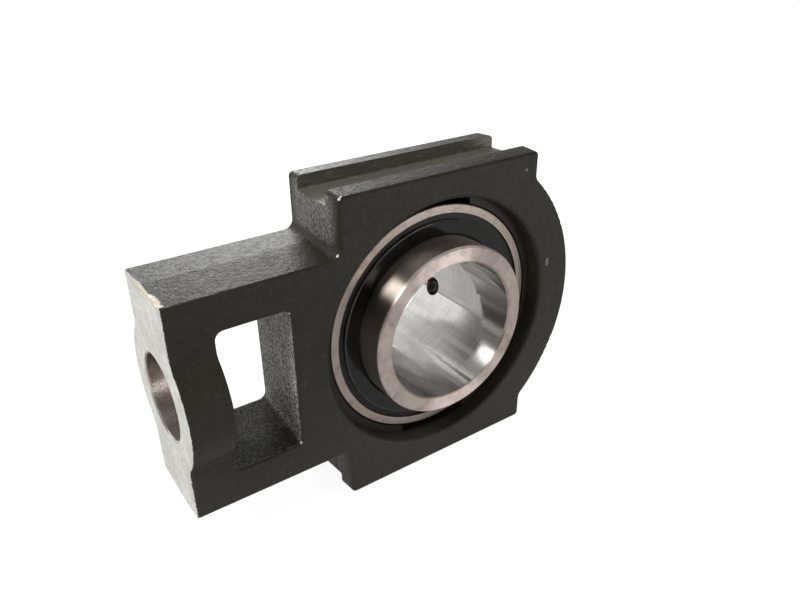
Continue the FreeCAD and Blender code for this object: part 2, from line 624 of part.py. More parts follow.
def cage_rivets():
    """One rivet for each bridge of the cage, kept as a group of separate solids."""
    sheet_ = value("cage_sheet")
    shank = Part.makeCylinder(value("rivet_radius"), 2 * sheet_, Vector(0, -sheet_, 0),
                              Vector(0, 1, 0))
    solids = []
    for side in (-1, 1):
        seat = Vector(0, side * sheet_, 0)
        head = Part.makeCone(value("rivet_head_radius"), value("rivet_radius"),
                             value("rivet_head_height"), seat, Vector(0, side, 0))
        shank = shank.fuse(head)
    shank = shank.removeSplitter()
    for number in range(BALL_COUNT):
        angle = (number + 0.5) * 360 / BALL_COUNT
        rivet = shank.copy()
        rivet.Placement = turned(Placement(Vector(value(PITCH_RADIUS), 0, 0), Rotation()), angle)
        solids.append(rivet)
    group = doc.addObject("Part::Feature", "cage_rivets")
    group.Label = "cage_rivets"
    group.Shape = Part.makeCompound(solids)
    parts.append(group)


def seal(name, flip):
    """Moulded seal that snaps into the outer ring, its lip leaning on the inner ring."""
    body = new_body(name)
    lip = f"({INNER_RADIUS} + seal_lip_gap)"
    throat = f"({COLLAR_RADIUS} + collar_gap)"
    points = [(SEAL_GROOVE, GROOVE_IN), (SEAL_GROOVE, GROOVE_OUT),
              (SEAL_STEP, GROOVE_OUT), (SEAL_STEP, SEAL_FACE),
              (f"{throat} + 1", SEAL_FACE), (throat, f"{SEAL_FACE} - 0.6"),
              (throat, f"{GROOVE_IN} + 0.3"), (lip, f"{GROOVE_IN} - seal_lip_drop + 0.4"),
              (lip, f"{GROOVE_IN} - seal_lip_drop"), (f"{throat} + 1.2", GROOVE_IN)]
    revolve(body, name + "_section", points)
    if flip:
        body.Placement = Placement(Vector(), Rotation(Vector(1, 0, 0), 180))


def flinger(name, flip):
    """Pressed steel disc with a collar that grips the inner ring."""
    body = new_body(name)
    points = [(INNER_RADIUS, f"{FLINGER_OUT} - flinger_collar"),
              (COLLAR_RADIUS, f"{FLINGER_OUT} - flinger_collar"), (COLLAR_RADIUS, FLINGER_IN),
              (FLINGER_RADIUS, FLINGER_IN), (FLINGER_RADIUS, f"{FLINGER_OUT} - flinger_bevel"),
              (f"{FLINGER_RADIUS} - flinger_bevel", FLINGER_OUT),
              (f"{INNER_RADIUS} + flinger_bend", FLINGER_OUT),
              (INNER_RADIUS, f"{FLINGER_OUT} - flinger_bend")]
    arcs = {4: ("flinger_bevel", "left"), 6: ("flinger_bend", "left")}
    revolve(body, name + "_section", points, arcs)
    if flip:
        body.Placement = Placement(Vector(), Rotation(Vector(1, 0, 0), 180))


def set_screw(number):
    """Socket set screw with a cup point, standing in its hole clear of the bore surface."""
    name = f"set_screw_{number + 1}"
    body = new_body(name)
    top = "screw_length"
    points = [("0", "1"), ("screw_cup_radius", "0"), ("screw_radius", "screw_radius - screw_cup_radius"),
              ("screw_radius", f"{top} - screw_chamfer"),
              ("screw_radius - screw_chamfer", top), ("0", top)]
    revolve(body, name + "_turned", points)
    side = "(screw_hex / sqrt(3))"
    corners = []
    for turn in range(6):
        across = f"{side} * cos({60 * turn})"
        along = "0" if turn % 3 == 0 else f"{side} * sin({60 * turn})"
        corners.append((across, along))
    hexagon = outline(body, name + "_hexagon", "XZ_Plane", corners, offset=f"-{top}")
    extrude(body, name + "_socket", hexagon, "screw_hex_depth", cut=True).Reversed = True
    lift = Placement(Vector(0, 0, value("screw_recess")), Rotation(Vector(0, 1, 0), Vector(0, 0, 1)))
    body.Placement = screw_placement(number).multiply(lift)


housing()
grease_nipple()
ball("nipple_ball", "nipple_ball_radius", (f"{NIPPLE_SEAT} + {NIPPLE_BALL}", LUBE_PLACE, "0"))
outer_ring()
inner_ring()
for index in range(BALL_COUNT):
    turn = f"{360 / BALL_COUNT * index}"
    ball(f"ball_{index + 1:02d}", BALL_RADIUS,
         (f"{PITCH_RADIUS} * cos({turn})", "0", f"{PITCH_RADIUS} * sin({turn})"))
cage_half("cage_front", flip=True)
cage_half("cage_back", flip=False)
cage_rivets()
seal("seal_front", flip=True)
seal("seal_back", flip=False)
flinger("flinger_front", flip=True)
flinger("flinger_back", flip=False)
for index in range(SCREW_COUNT):
    set_screw(index)
doc.recompute()

for item in doc.Objects:
    if "Invalid" in item.State or "Error" in item.State:
        raise RuntimeError(f"{item.Name} was not built: {item.State}")
for part in parts:
    if part.Shape.isNull() or not part.Shape.isValid():
        raise RuntimeError(f"{part.Label} has no valid shape")

os.makedirs("parts", exist_ok=True)
for part in parts:
    part.Shape.exportStep(f"parts/{part.Label}.step")
    box = part.Shape.BoundBox
    print(f"{part.Label:14s} solids {len(part.Shape.Solids):2d} volume {part.Shape.Volume:12.1f}"
          f"  x {box.XMin:8.2f} {box.XMax:8.2f}  y {box.YMin:8.2f} {box.YMax:8.2f}"
          f"  z {box.ZMin:8.2f} {box.ZMax:8.2f}")
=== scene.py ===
"""Looks of the take-up bearing unit: paint, machined metal, wear, threads, studio and camera.

Metres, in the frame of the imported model: the origin is the centre of the bearing, X runs along the
housing with the screw end at -X, Y is the shaft axis and Z is up. The materials work in
millimetres, so their sizes compare with the real part. Colours are linear red, green and blue.
"""
import math

import bmesh
import bpy
from mathutils import Matrix, Vector


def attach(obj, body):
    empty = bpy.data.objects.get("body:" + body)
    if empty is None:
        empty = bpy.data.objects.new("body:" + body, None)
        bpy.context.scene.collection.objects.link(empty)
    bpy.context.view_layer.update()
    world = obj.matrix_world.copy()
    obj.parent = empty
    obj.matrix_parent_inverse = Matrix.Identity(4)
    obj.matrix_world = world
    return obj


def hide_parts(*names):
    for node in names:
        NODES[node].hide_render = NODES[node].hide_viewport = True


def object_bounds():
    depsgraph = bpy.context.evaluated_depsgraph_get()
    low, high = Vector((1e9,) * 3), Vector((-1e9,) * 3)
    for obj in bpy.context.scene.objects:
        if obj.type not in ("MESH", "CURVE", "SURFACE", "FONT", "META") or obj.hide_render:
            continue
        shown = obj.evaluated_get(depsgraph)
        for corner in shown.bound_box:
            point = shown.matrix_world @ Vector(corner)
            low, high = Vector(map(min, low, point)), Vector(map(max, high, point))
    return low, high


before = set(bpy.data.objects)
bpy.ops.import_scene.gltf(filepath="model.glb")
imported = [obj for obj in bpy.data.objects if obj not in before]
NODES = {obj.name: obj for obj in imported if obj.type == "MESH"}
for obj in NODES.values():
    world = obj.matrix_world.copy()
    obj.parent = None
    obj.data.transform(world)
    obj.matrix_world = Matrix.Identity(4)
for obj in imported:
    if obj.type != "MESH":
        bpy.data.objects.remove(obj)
CAD_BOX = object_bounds()
MM = 0.001

# Camera, fitted to the outlines of the housing and the rings
IMAGE_WIDTH = 800
FOCAL_PIXELS = 713.481
SENSOR_WIDTH = 36.0
CAMERA_TARGET = Vector((-47.656, -51.895, 42.090)) * MM
CAMERA_DISTANCE = 304.142 * MM
CAMERA_AZIMUTH = math.radians(-34.872)
CAMERA_ELEVATION = math.radians(27.800)
CAMERA_ROLL = math.radians(-0.541)

# Sizes of the part that the materials and screws refer to, in millimetres
END_FACE = -140.0
WINDOW_LEFT = -120.0
WINDOW_RIGHT = -84.045  # at mid thickness
WINDOW_DRAFT = math.radians(3.3)  # of the right wall
WINDOW_TOP = 36.6
HALF_THICKNESS = 23.5
SCREW_HOLE = 20.5
GUIDE_SIDE = 13.0
GUIDE_FLOOR = 75.5
SEAT_SIDE = 15.0
MOUTH = 67.4
ARM_TOP = 55.5
FLANGE_END = -60.5
CROWN = 82.2
BORE = 37.5
RING_OUTSIDE = 46.15
RING_EDGE = 62.2
FLINGER_EDGE = 54.6
SCREW_PLANE = 33.3
SCREW_POINT = 38.4  # from the shaft axis to the cup point
SCREW_ANGLES = (-16.5, 103.5)

# Wear, in millimetres: the torn paint of the upper end corner from TORN_FROM to TORN_TO along Y,
# bare spots of the cast faces and light scuffs, each with its centre and size
TORN_FROM = -21.5
TORN_TO = 6.0
CHIPS = (
    ((-60.8, -22.6, 55.7), 1.0),
    ((-58.6, -22.6, 81.4), 0.9),
    ((-57.3, -22.4, 82.2), 0.7),
    ((-86.2, -23.3, -35.4), 0.8),
    ((-85.7, -22.5, 35.2), 0.8),
)
SCUFFS = (
    ((72.1, -23.5, 17.6), 1.3),
    ((72.1, -23.5, 15.6), 1.2),
    ((51.0, -23.5, 73.5), 0.9),
    ((-115.0, -23.0, -4.0), 1.1),
)

# Studio: strengths, of which 1 is white, and the lamps' places in metres from the bearing
FLOOR_HALF_SIZE = 8.0
FLOOR_SEEN = 0.92
FLOOR_IN_GLOSS = 0.34
FLOOR_IN_SHADOW = 0.25
FLOOR_AS_LIGHT = 0.78
WORLD_AS_LIGHT = 0.35
CEILING_FRONT = 0.20
CEILING_BACK = 0.60
BACKDROP_EDGE = (0.664, 0.704)  # how far behind its front edge lies, low down and high up
LAMP_AIM = Vector((-0.03, 0.0, 0.0))
# Name, place, width along Y, height and radiance
LAMPS = (
    ("key_softbox", (-0.92, -0.19, 0.92), 0.22, 0.46, 38.0),
    ("back_softbox", (0.42, 1.29, 0.47), 0.50, 0.36, 12.5),
    ("overhead_softbox", (-0.1, 0.1, 1.3), 0.9, 0.9, 1.2),
    ("fill_softbox", (0.28, -0.52, 0.00), 0.30, 0.14, 5.0),
)


class Graph:
    """Adds and links the nodes of one material."""

    def __init__(self, name):
        self.material = bpy.data.materials.new(name)
        self.material.use_nodes = True
        self.nodes = self.material.node_tree.nodes
        self.links = self.material.node_tree.links
        self.nodes.clear()
        self.output = self.nodes.new("ShaderNodeOutputMaterial")
        coordinates = self.nodes.new("ShaderNodeTexCoord").outputs["Object"]
        self.place = self.vector("SCALE", coordinates, scale=1.0 / MM)
        split = self.nodes.new("ShaderNodeSeparateXYZ")
        self.links.new(self.place, split.inputs[0])
        self.x, self.y, self.z = split.outputs

    def feed(self, socket, source):
        if isinstance(source, bpy.types.NodeSocket):
            self.links.new(source, socket)
        elif source is not None:
            socket.default_value = source

    def vector(self, operation, first, second=None, scale=None):
        node = self.nodes.new("ShaderNodeVectorMath")
        node.operation = operation
        self.feed(node.inputs[0], first)
        self.feed(node.inputs[1], second)
        if scale is not None:
            self.feed(node.inputs["Scale"], scale)
        return node.outputs["Value" if operation == "LENGTH" else "Vector"]

    def math(self, operation, first, second=None, third=None):
        node = self.nodes.new("ShaderNodeMath")
        node.operation = operation
        for socket, source in zip(node.inputs, (first, second, third)):
            self.feed(socket, source)
        return node.outputs[0]

    def ramp(self, value, low, high, start=0.0, end=1.0, smooth=True):
        """start where value is low or less, end where it is high or more."""
        node = self.nodes.new("ShaderNodeMapRange")
        node.interpolation_type = "SMOOTHSTEP" if smooth else "LINEAR"
        node.clamp = True
        for socket, source in zip(node.inputs, (value, low, high, start, end)):
            self.feed(socket, source)
        return node.outputs[0]

    def fade(self, value, low, high):
        """1 where value is low or less, 0 where it is high or more."""
        return self.ramp(value, low, high, 1.0, 0.0)

    def below(self, value, limit, soft=0.1):
        return self.fade(value, limit - soft, limit + soft)

    def above(self, value, limit, soft=0.1):
        return self.ramp(value, limit - soft, limit + soft)

    def times(self, value, factor):
        return self.math("MULTIPLY", value, factor)

    def rest(self, mask):
        """What a mask leaves over."""
        return self.math("SUBTRACT", 1.0, mask)

    def both(self, *masks):
        result = masks[0]
        for mask in masks[1:]:
            result = self.times(result, mask)
        return result

    def either(self, *masks):
        result = masks[0]
        for mask in masks[1:]:
            result = self.math("MAXIMUM", result, mask)
        return result

    def radius(self, first, second):
        squares = self.math("MULTIPLY_ADD", second, second, self.times(first, first))
        return self.math("SQRT", squares)

    def combine(self, x, y, z):
        node = self.nodes.new("ShaderNodeCombineXYZ")
        for socket, source in zip(node.inputs, (x, y, z)):
            self.feed(socket, source)
        return node.outputs[0]

    def noise(self, size, detail=2.0, roughness=0.5, place=None, seed=0.0, distortion=0.0):
        """Noise with features of about the given size in millimetres."""
        node = self.nodes.new("ShaderNodeTexNoise")
        node.noise_dimensions = "3D"
        spot = self.vector("ADD", place or self.place, (seed * 17.3, seed * 5.1, seed * 9.7))
        self.feed(node.inputs["Vector"], spot)
        for name, number in (("Scale", 1.0 / size), ("Detail", detail), ("Roughness", roughness),
                             ("Distortion", distortion)):
            node.inputs[name].default_value = number
        return node.outputs[0]

    def cells(self, size, seed=0.0):
        """Distance to scattered points about the given size apart, over that size."""
        node = self.nodes.new("ShaderNodeTexVoronoi")
        spot = self.vector("ADD", self.place, (seed * 11.9, seed * 3.7, seed * 7.3))
        self.feed(node.inputs["Vector"], spot)
        node.inputs["Scale"].default_value = 1.0 / size
        return node.outputs["Distance"]

    def mix(self, factor, first, second):
        """The first colour where factor is 0, the second where it is 1."""
        node = self.nodes.new("ShaderNodeMix")
        node.data_type = "RGBA"
        for name, source in (("Factor_Float", factor), ("A_Color", first), ("B_Color", second)):
            socket = next(item for item in node.inputs if item.identifier == name)
            self.feed(socket, (*source, 1.0) if isinstance(source, tuple) else source)
        return next(item for item in node.outputs if item.identifier == "Result_Color")

    def cover(self, base, colour, mask, strength=1.0):
        """Base with a colour over it where the mask is 1, as opaque as strength says."""
        return self.mix(mask if strength == 1.0 else self.times(mask, strength), base, colour)

    def spot(self, centre, radius, ragged=0.35, seed=1.0):
        """Ragged patch around a point, in millimetres."""
        away = self.vector("LENGTH", self.vector("SUBTRACT", self.place, centre))
        edge = self.math("MULTIPLY_ADD", self.noise(radius * 0.8, 3.0, seed=seed),
                         -2.0 * ragged * radius, (1.0 + ragged) * radius)
        return self.math("LESS_THAN", away, edge)

    def bump(self, height, depth, normal=None):
        """Surface relief: height of 1 stands depth millimetres out."""
        node = self.nodes.new("ShaderNodeBump")
        node.inputs["Strength"].default_value = 1.0
        node.inputs["Distance"].default_value = depth * MM
        self.feed(node.inputs["Height"], height)
        if normal is not None:
            self.links.new(normal, node.inputs["Normal"])
        return node.outputs[0]

    def surface(self, colour, roughness, metallic=0.0, normal=None, **fixed):
        shader = self.shader = self.nodes.new("ShaderNodeBsdfPrincipled")
        self.feed(shader.inputs["Base Color"], colour)
        self.feed(shader.inputs["Roughness"], roughness)
        self.feed(shader.inputs["Metallic"], metallic)
        if normal is not None:
            self.links.new(normal, shader.inputs["Normal"])
        for name, number in fixed.items():
            shader.inputs[name.replace("_", " ")].default_value = number
        self.links.new(shader.outputs[0], self.output.inputs["Surface"])
        return self.material


def grey(level, warmth):
    """Grey, warmer with a larger warmth."""
    return (level * (1 + warmth), level, level * (1 - warmth))


def machined_places(g, depth, height):
    """Masks of the machined end, the screw hole, the bearing seat and the guide grooves."""
    ragged = g.times(g.noise(1.6, 3.0, seed=1), 0.9)
    end_face = g.below(g.math("SUBTRACT", g.x, ragged), END_FACE - 0.25, 0.08)
    hole = g.both(g.below(g.radius(g.y, g.z), SCREW_HOLE + 1.0), g.below(g.x, WINDOW_LEFT + 0.3))
    seat = g.both(g.below(depth, SEAT_SIDE + 0.06, 0.03),
                  g.below(g.radius(g.x, g.z), MOUTH + 0.2))
    groove = g.both(g.below(depth, GUIDE_SIDE + 0.05, 0.03), g.above(height, GUIDE_FLOOR - 0.2))
    return end_face, hole, seat, groove


def machined_colours(g, milled):
    """Colours of the same four places, for the fine marks of the cutter that milled gives."""
    bare = g.mix(g.ramp(g.noise(5.0, 5.0, 0.65, seed=10), 0.35, 0.7),
                 (0.93, 0.914, 0.872), (0.80, 0.784, 0.742))
    bare = g.cover(bare, (0.36, 0.34, 0.30), g.ramp(milled, 0.46, 0.74), 0.60)
    clouds = g.ramp(g.noise(14.0, 4.0, 0.6, seed=16), 0.42, 0.62)
    bare = g.cover(bare, (0.54, 0.525, 0.49), clouds, 0.45)
    mottled = g.ramp(g.noise(1.7, 5.0, 0.70, seed=17), 0.48, 0.64)
    bare = g.cover(bare, (0.44, 0.428, 0.398), mottled, 0.55)

    rust = g.ramp(g.noise(6.5, 4.0, 0.62, seed=11), 0.50, 0.68)
    bored = g.mix(rust, (0.80, 0.74, 0.69), (0.74, 0.60, 0.50))
    bored = g.cover(bored, (0.20, 0.165, 0.14), g.ramp(milled, 0.42, 0.7), 0.6)
    # painted shade: the screw hole darker towards its top
    bored = g.cover(bored, (0.075, 0.062, 0.050), g.ramp(g.z, -8.0, 14.0), 0.8)

    step = g.mix(g.noise(2.0, 3.0, seed=13), (0.011, 0.0085, 0.0065), (0.028, 0.020, 0.015))

    slideway = g.mix(g.noise(3.0, 4.0, seed=12), (0.105, 0.100, 0.080), (0.155, 0.147, 0.122))
    along = g.combine(g.times(g.x, 0.12), g.y, g.z)
    scored = g.ramp(g.noise(0.8, 3.0, 0.6, place=along, seed=14), 0.50, 0.75)
    slideway = g.cover(slideway, (0.30, 0.293, 0.256), scored, 0.6)
    return bare, bored, step, slideway


def painted_casting():
    """Dark satin paint on cast iron, with bare machined end, screw hole, seat and guide grooves."""
    g = Graph("cast_iron_painted")
    depth = g.math("ABSOLUTE", g.y)
    height = g.math("ABSOLUTE", g.z)
    end_face, hole, seat, groove = machined_places(g, depth, height)
    machined = g.either(end_face, hole, seat, groove)
    cast = g.rest(machined)

    # Where the sand left a coarse grain: the window and, less so, the ends of the flanges
    slant = g.math("MULTIPLY_ADD", g.y, -math.tan(WINDOW_DRAFT), g.x)
    window = g.both(g.above(g.x, WINDOW_LEFT - 0.5), g.below(slant, WINDOW_RIGHT + 0.3),
                    g.below(height, WINDOW_TOP + 0.3), g.below(depth, HALF_THICKNESS - 1.3, 0.9))
    sill = g.both(window, g.above(height, WINDOW_TOP - 1.5, 1.0))
    flange_end = g.both(g.below(g.x, FLANGE_END + 1.2, 0.4), g.above(g.x, FLANGE_END - 6.0, 0.4),
                        g.above(height, ARM_TOP + 3.0, 2.0),
                        g.below(depth, HALF_THICKNESS - 0.8, 0.5))
    sandy = g.either(window, g.times(flange_end, 0.50))

    # Textures, from the finest to the broadest
    milled = g.noise(0.35, 3.0, 0.6, seed=9)
    upright = g.combine(g.x, g.y, g.times(g.z, 0.55))
    streaks = g.noise(0.8, 4.0, 0.62, place=upright, seed=5, distortion=0.2)
    grain = g.noise(1.0, 3.0, 0.60, seed=2, distortion=0.5)
    torn = g.noise(1.5, 4.0, 0.7, seed=15)
    coarse = g.noise(2.6, 2.0, 0.5, seed=3)
    pits = g.fade(g.cells(5.5, seed=2), 0.045, 0.10)
    waves = g.noise(14.0, 1.5, 0.45, seed=4)

    paint = g.mix(g.noise(9.0, 3.0, seed=6), (0.0138, 0.0126, 0.0078), (0.0226, 0.0208, 0.0140))
    # painted light: paint made lighter low on the front, standing in for light falling from low in
    # front
    painted_light_low_front = g.both(g.fade(g.z, -70.0, 20.0), g.below(g.y, 0.0, 6.0))
    paint = g.cover(paint, (0.036, 0.033, 0.026), painted_light_low_front, 0.75)
    worn = g.ramp(g.noise(3.2, 4.0, 0.65, seed=7), 0.56, 0.76)
    paint = g.cover(paint, (0.060, 0.056, 0.047), worn, 0.55)
    specks = g.both(g.below(g.cells(3.1, seed=5), 0.055, 0.02),
                    g.above(g.noise(12.0, seed=8), 0.54, 0.04))
    paint = g.cover(paint, (0.22, 0.21, 0.19), specks, 0.6)
    paint = g.cover(paint, (0.006, 0.006, 0.005), pits, 0.5)
    # painted glints: light grey on the raised streaks of the sand grain in the window and on the
    # flange ends
    painted_grain_glints = g.both(sandy, g.ramp(streaks, 0.46, 0.56))
    paint = g.cover(paint, (0.600, 0.590, 0.562), painted_grain_glints, 0.80)
    # painted sheen: lighter grey over the ends of the flanges
    paint = g.cover(paint, (0.150, 0.147, 0.138), flange_end, 0.40)
    # painted sheen: lighter grains on the crowns of the flanges
    painted_sheen_on_crown = g.both(g.above(height, CROWN, 0.5), g.ramp(grain, 0.46, 0.62))
    paint = g.cover(paint, (0.160, 0.157, 0.148), painted_sheen_on_crown, 0.35)
    # painted shade: near black in the low streaks of the sand grain
    painted_grain_shade = g.both(sandy, g.fade(streaks, 0.30, 0.42))
    paint = g.cover(paint, (0.004, 0.004, 0.003), painted_grain_shade, 0.7)
    # painted shade: the floor of the window darkened
    paint = g.cover(paint, (0.0100, 0.0095, 0.0075), sill, 0.85)

    bare, bored, step, slideway = machined_colours(g, milled)
    colour = g.cover(paint, slideway, groove)
    colour = g.cover(colour, step, seat)
    colour = g.cover(colour, bored, hole)
    colour = g.cover(colour, bare, end_face)
    metal = g.either(g.times(end_face, 0.5), g.times(hole, 0.95), g.times(groove, 0.35))

    # Damage: chips, scuffs and the torn paint along the upper edge of the end face
    chips = g.either(*(g.spot(centre, size, seed=number) for number, (centre, size) in
                       enumerate(CHIPS, start=20)))
    corner = g.both(g.above(g.z, ARM_TOP - 2.6, 0.2), g.above(g.y, TORN_FROM, 0.5),
                    g.below(g.y, TORN_TO, 3.0))
    width = g.ramp(g.y, TORN_FROM + 8.0, TORN_FROM + 14.0, 2.2, 0.6)
    reach = g.math("ADD", END_FACE, g.times(g.ramp(torn, 0.25, 0.7, 0.5, 1.4), width))
    torn_edge = g.both(corner, g.below(g.math("SUBTRACT", g.x, reach), 0.0, 0.08))
    crumbs = g.mix(g.ramp(torn, 0.4, 0.6), (0.80, 0.74, 0.60), (0.60, 0.52, 0.40))
    scuffs = g.both(g.either(*(g.spot(centre, size, seed=number) for number, (centre, size) in
                               enumerate(SCUFFS, start=30))), cast)
    damaged = g.either(chips, torn_edge)
    colour = g.cover(colour, (0.30, 0.29, 0.25), scuffs, 0.45)
    colour = g.cover(colour, (0.66, 0.63, 0.56), chips)
    colour = g.cover(colour, crumbs, torn_edge)
    metal = g.both(metal, g.rest(damaged))

    cast_rough = g.math("MULTIPLY_ADD", sill, 0.30, g.ramp(coarse, 0.3, 0.7, 0.36, 0.50))
    machined_rough = g.math("SUBTRACT", g.ramp(milled, 0.3, 0.7, 0.36, 0.50), g.times(hole, 0.16))
    rough = g.math("ADD", g.both(cast_rough, cast), g.both(machined_rough, machined))

    relief = g.both(grain, g.ramp(sandy, 0.0, 1.0, 1.0, 1.6))
    relief = g.math("MULTIPLY_ADD", coarse, 0.8, relief)
    relief = g.math("MULTIPLY_ADD", g.both(streaks, sandy), 2.4, relief)
    relief = g.math("MULTIPLY_ADD", pits, -0.6, relief)
    normal = g.bump(waves, 0.35)
    normal = g.bump(g.both(relief, cast), 0.34, normal)
    normal = g.bump(g.both(milled, machined), 0.020, normal)
    normal = g.bump(g.both(torn, damaged), 0.6, normal)
    return g.surface(colour, rough, metal, normal, Specular_IOR_Level=0.25)


def turned_marks(g, fine, seed):
    """Marks that turning or grinding leaves around the shaft axis, on faces and cylinders."""
    ring = g.combine(g.radius(g.x, g.z), g.y, g.times(g.math("ARCTAN2", g.z, g.x), 3.0))
    return g.noise(fine, 3.0, 0.65, place=ring, seed=seed)


def around_axis(g):
    """Tangent around the shaft axis, so that ground steel stretches its highlights along it."""
    node = g.nodes.new("ShaderNodeTangent")
    node.direction_type = "RADIAL"
    node.axis = "Y"
    return node.outputs[0]


def outer_ring_steel():
    """Outer ring: bearing steel, ground, with fine marks around the axis, a few stains and painted
    shade along the outer edge of its face.
    """
    g = Graph("bearing_steel_outer")
    marks = turned_marks(g, 0.30, 1)
    broad = turned_marks(g, 1.6, 2)
    stains = g.noise(5.0, 4.0, 0.6, seed=3)
    colour = g.mix(g.ramp(marks, 0.35, 0.65), (0.460, 0.390, 0.344), (0.360, 0.300, 0.263))
    colour = g.cover(colour, (0.170, 0.135, 0.112), g.ramp(stains, 0.50, 0.72), 0.55)
    # painted shade: near black along the outer edge of the face, where its chamfer meets the housing
    edge = g.above(g.radius(g.x, g.z), RING_EDGE, 0.25)
    colour = g.cover(colour, (0.012, 0.010, 0.008), edge, 0.93)
    rough = g.ramp(broad, 0.3, 0.7, 0.26, 0.38)
    normal = g.bump(broad, 0.012, g.bump(marks, 0.0040))
    return g.surface(colour, rough, 1.0, normal)


def inner_ring_steel():
    """Inner ring: matt ground faces, polished outside with painted shade on its lower left, and a
    bright bore that is worn in front, with painted shade around that.

    turn is the angle around the shaft in radians: 0 at +X, -pi/2 at the bottom.
    """
    g = Graph("bearing_steel_inner")
    radius = g.radius(g.x, g.z)
    turn = g.math("ARCTAN2", g.z, g.x)
    bore = g.below(radius, BORE + 0.3, 0.15)
    outside = g.above(radius, RING_OUTSIDE - 0.3, 0.15)
    face = g.both(g.rest(bore), g.rest(outside))

    marks = turned_marks(g, 0.22, 1)
    broad = turned_marks(g, 1.1, 2)
    stains = g.noise(3.5, 4.0, 0.62, seed=3)
    patches = g.noise(9.0, 4.0, 0.6, seed=4)
    hatch = g.noise(1.0, 3.0, 0.6, seed=6,
                    place=g.combine(0.0, g.times(g.y, 1.2), g.times(turn, 2.2)))
    drawn = g.noise(1.0, 3.0, 0.6, seed=7,
                    place=g.combine(g.times(g.y, 0.008), 0.0, g.times(turn, 9.0)))

    # Outside darkened on its lower left by painted shade and painted reflection of dark
    # surroundings, and dusty faces
    colour = g.mix(g.ramp(marks, 0.35, 0.65), (0.70, 0.61, 0.54), (0.54, 0.45, 0.39))
    lower_left = g.math("MULTIPLY_ADD", g.z, -0.42, g.times(g.x, -0.91))
    painted_shade_outside = g.both(outside, g.ramp(lower_left, 15.0, 24.0))
    # painted shade: the lower left of the outside darkened
    colour = g.cover(colour, (0.075, 0.055, 0.043), painted_shade_outside, 0.75)
    dusty = g.mix(g.ramp(stains, 0.40, 0.70), (0.740, 0.625, 0.580), (0.620, 0.515, 0.472))
    colour = g.cover(colour, dusty, face)

    # Bore: rubbed at the front rim, streaked along the shaft below that, and darkened around them by
    # painted shade and painted reflection of dark surroundings
    rubbed = g.both(g.fade(g.y, -22.0, -17.0), g.ramp(turn, -1.15, -0.92),
                    g.fade(turn, -0.68, -0.56))
    streaked = g.both(g.fade(g.y, -16.0, 24.0), g.ramp(turn, -1.45, -1.15),
                      g.fade(turn, -0.95, -0.70), g.ramp(drawn, 0.40, 0.60))
    painted_shade_in_bore = g.either(
        g.both(g.fade(g.y, -20.0, 10.0), g.rest(rubbed)),
        g.fade(turn, -1.75, -1.35),
        g.both(g.ramp(turn, -0.27, -0.23), g.ramp(g.y, 7.0, 24.0, 0.50, 0.05)),
        g.both(g.ramp(turn, 0.16, 0.34), g.fade(g.y, 3.0, 12.0)))
    ground = g.mix(g.ramp(hatch, 0.40, 0.62), (0.76, 0.75, 0.73), (0.68, 0.67, 0.65))
    ground = g.cover(ground, (0.54, 0.52, 0.50), g.ramp(drawn, 0.45, 0.65), 0.35)
    ground = g.cover(ground, (0.48, 0.47, 0.46), g.ramp(patches, 0.50, 0.72), 0.30)
    # painted shade: the bore darkened around the rubbed front rim and the bright places
    ground = g.cover(ground, (0.26, 0.25, 0.24), painted_shade_in_bore, 0.62)
    colour = g.cover(colour, ground, bore)
    rim = g.both(g.above(radius, BORE + 0.05, 0.1), g.below(radius, BORE + 0.9, 0.15),
                 g.rest(bore))
    colour = g.cover(colour, (0.50, 0.36, 0.25), rim, 0.6)

    # The bore is near a mirror where it shows the backdrop, and duller elsewhere
    worn = g.either(rubbed, g.times(streaked, 0.65), g.ramp(turn, -1.70, -1.45, 0.35, 0.0))
    bored = g.math("ADD", g.ramp(patches, 0.35, 0.65, 0.03, 0.05),
                   g.ramp(turn, -1.05, -0.75, 0.05, 0.0))
    bored = g.math("MULTIPLY_ADD", worn, 0.34, bored)
    upper_left = g.either(g.fade(turn, -2.10, -1.85), g.ramp(turn, 0.60, 0.80))
    bored = g.math("MAXIMUM", bored, g.times(upper_left, 0.42))
    polished = g.ramp(broad, 0.3, 0.7, 0.34, 0.39)
    matt = g.ramp(stains, 0.3, 0.7, 0.38, 0.48)
    rough = g.math("ADD", g.both(bored, bore), g.both(matt, face))
    rough = g.math("ADD", g.both(polished, outside), rough)

    normal = g.bump(g.both(marks, g.ramp(bore, 0.0, 1.0, 0.35, 0.1)), 0.005)
    normal = g.bump(g.both(hatch, bore), 0.0015, normal)
    normal = g.bump(g.both(drawn, bore), 0.0020, normal)
    normal = g.bump(g.both(broad, g.ramp(bore, 0.0, 1.0, 1.0, 0.1)), 0.008, normal)
    normal = g.bump(g.both(stains, face), 0.012, normal)
    steel = g.surface(colour, rough, 1.0, normal, Anisotropic=1.0, Anisotropic_Rotation=0.25,
                      Coat_Roughness=0.06, Coat_IOR=2.4)
    g.links.new(around_axis(g), g.shader.inputs["Tangent"])
    g.links.new(g.times(outside, 0.6), g.shader.inputs["Coat Weight"])
    return steel


def polished_balls():
    """Polished bearing balls with a few hairline marks."""
    g = Graph("ball_steel")
    hairs = g.noise(0.8, 4.0, 0.7, seed=2, distortion=1.5)
    colour = g.mix(g.ramp(hairs, 0.55, 0.75), grey(0.66, 0.01), grey(0.55, 0.01))
    return g.surface(colour, g.ramp(hairs, 0.3, 0.7, 0.05, 0.12), 1.0, g.bump(hairs, 0.0015))


